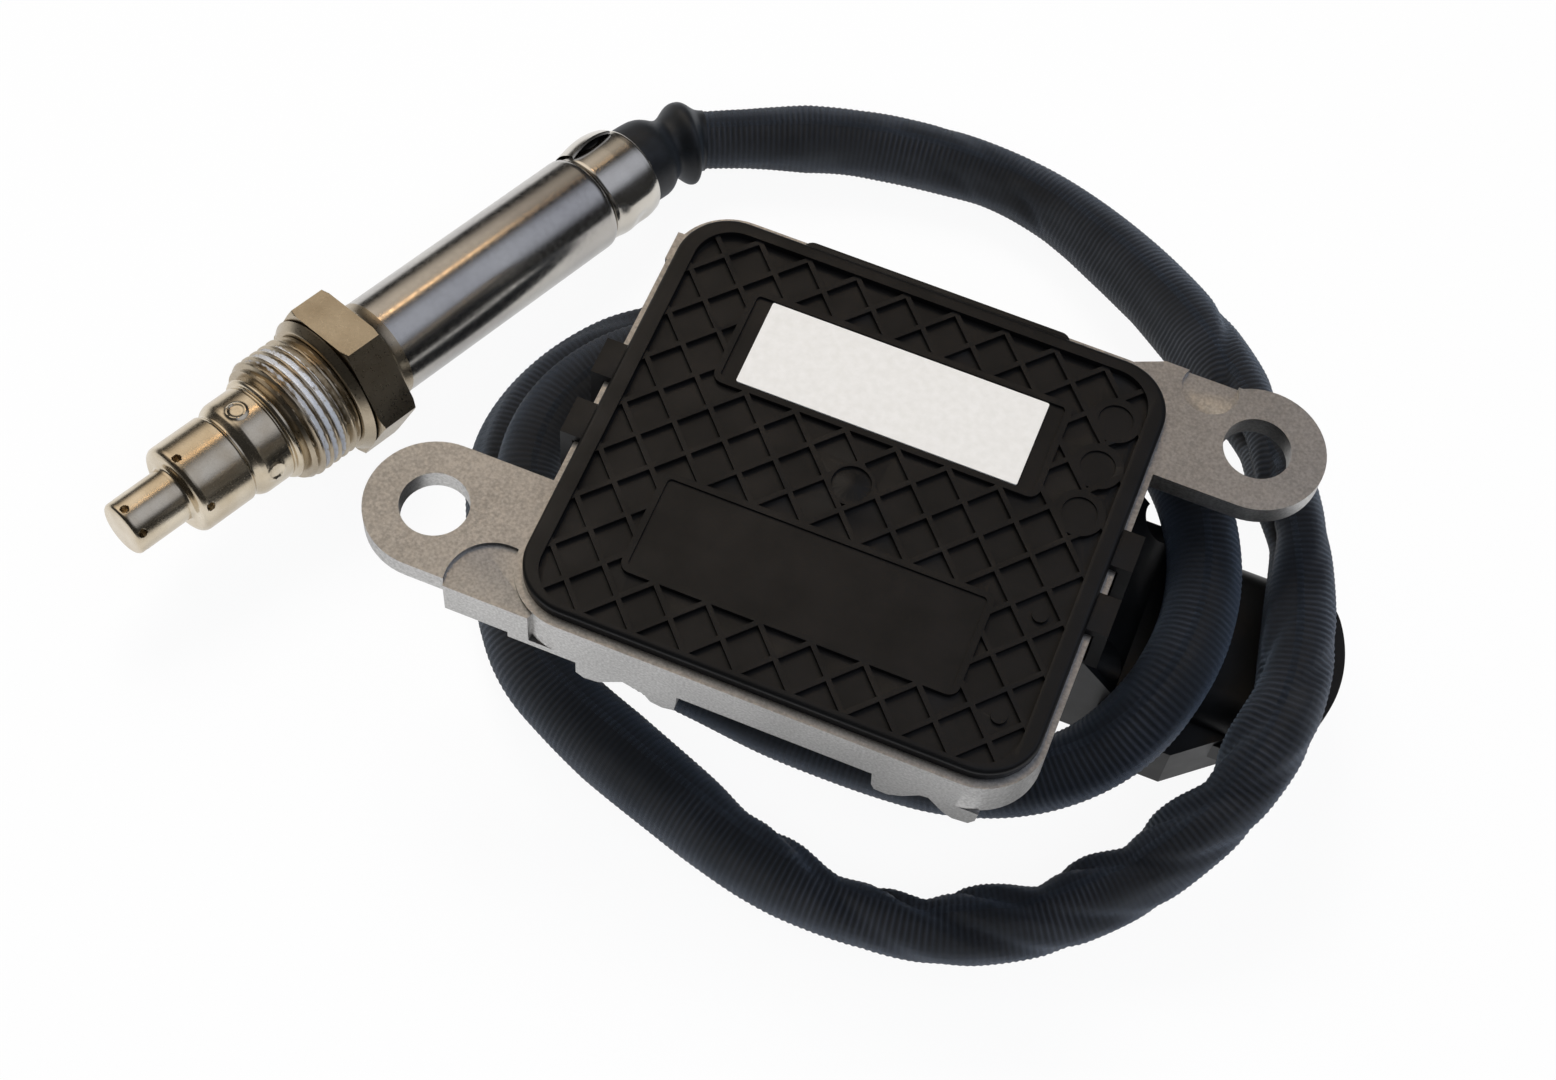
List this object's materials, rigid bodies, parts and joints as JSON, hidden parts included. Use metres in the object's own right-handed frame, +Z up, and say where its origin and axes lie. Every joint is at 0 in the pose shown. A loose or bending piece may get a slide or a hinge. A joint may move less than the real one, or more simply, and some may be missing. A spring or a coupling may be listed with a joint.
{
  "type": "nitrogen oxide sensor",
  "caption": "Exhaust gas sensor: a threaded steel probe joined by a woven-sleeved cable to a flat control unit with fastening ears and a plug socket.",
  "frame": {"origin": "axis of the left fastening ear's hole, at the seat face on the ear's underside", "axes": "+Z up through the cover, +X along the control unit towards its plug, +Y towards its back"},
  "size_m": [0.1714, 0.1345, 0.0399],
  "materials": {
    "cast_aluminium": "die cast, matte, with machined ear faces",
    "cover_plastic": "moulded black, matte",
    "plug_plastic": "moulded black, matte",
    "label_film": "off-white film",
    "black_rubber": "black, satin",
    "woven_sleeve": "black woven textile",
    "tinted_steel": "drawn stainless steel, tinted golden brown",
    "turned_steel": "turned stainless steel, light golden tint",
    "polished_steel": "drawn and brushed stainless steel",
    "screw_steel": "zinc plated",
    "contact_metal": "plated",
    "white_ceramic": "fired ceramic, matte",
    "pressed_talc": "pressed powder",
    "board_laminate": "coated laminate",
    "package_black": "moulded",
    "lead_jacket": "smooth"
  },
  "bodies": {
    "root": {"housing": "cast_aluminium", "cover": "cover_plastic", "cover_seal": "black_rubber", "label_plate": "label_film", "circuit_board": "board_laminate", "board_screws": "screw_steel", "processor_chip": "package_black", "driver_chips": "package_black", "power_coil": "package_black", "capacitors": "package_black", "connector_housing": "plug_plastic", "connector_seal": "black_rubber", "connector_pins": "contact_metal", "connector_screws": "screw_steel", "cable_gland": "black_rubber", "sensor_leads": "lead_jacket", "cable_sleeve": "woven_sleeve", "cable_boot": "black_rubber", "crimp_collar": "polished_steel", "crimp_clip": "polished_steel", "sleeve_tube": "polished_steel", "sensor_body": "turned_steel", "sealing_washer": "turned_steel", "outer_protection_tube": "tinted_steel", "inner_protection_tube": "tinted_steel", "sensing_element": "white_ceramic", "front_insulator": "white_ceramic", "talc_packing": "pressed_talc", "rear_insulator": "white_ceramic", "contact_holder": "white_ceramic", "contacts": "contact_metal", "rear_grommet": "black_rubber", "probe_leads": "lead_jacket"}
  },
  "joints": []
}
